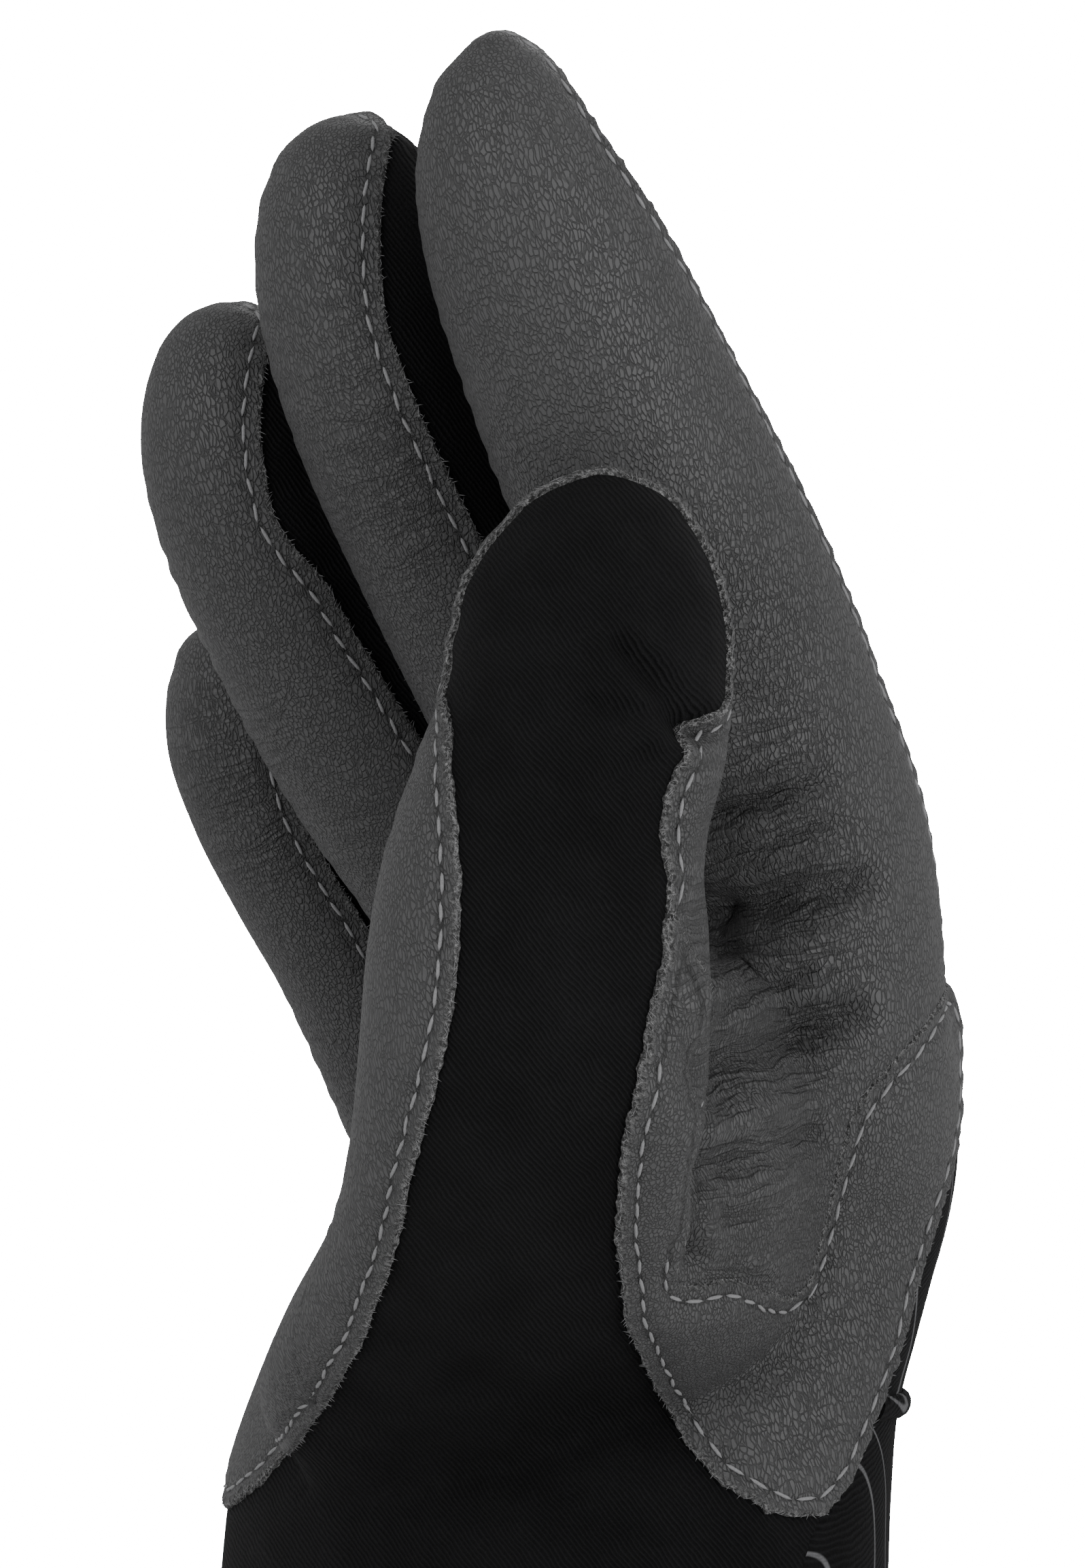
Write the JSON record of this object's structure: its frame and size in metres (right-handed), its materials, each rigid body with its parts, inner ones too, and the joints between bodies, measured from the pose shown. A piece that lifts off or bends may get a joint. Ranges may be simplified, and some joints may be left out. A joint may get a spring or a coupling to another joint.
{
  "type": "glove",
  "caption": "Right-hand glove in grey leather and black stretch fabric, open at the cuff, with the fingers curled forward and the thumb upright.",
  "frame": {"origin": "middle of the cuff opening, where the hand goes in", "axes": "+Z from the cuff up to the fingertips, +X to the thumb side, +Y to the back of the hand"},
  "size_m": [0.1082, 0.0926, 0.1931],
  "materials": {
    "leather": "matt pebbled grain",
    "black_fabric": "fine twill, matt",
    "printed_fabric": "fine twill with thin grey lines",
    "hem": "matt binding"
  },
  "bodies": {
    "root": {"palm_leather": "leather", "thumb_leather": "leather", "side_panel": "leather", "thumb_back": "black_fabric", "back_fabric": "printed_fabric", "fourchette_index_middle": "black_fabric", "fourchette_middle_ring": "black_fabric", "fourchette_ring_pinky": "black_fabric", "wrist_tuck": "printed_fabric", "cuff_hem": "hem"}
  },
  "joints": []
}
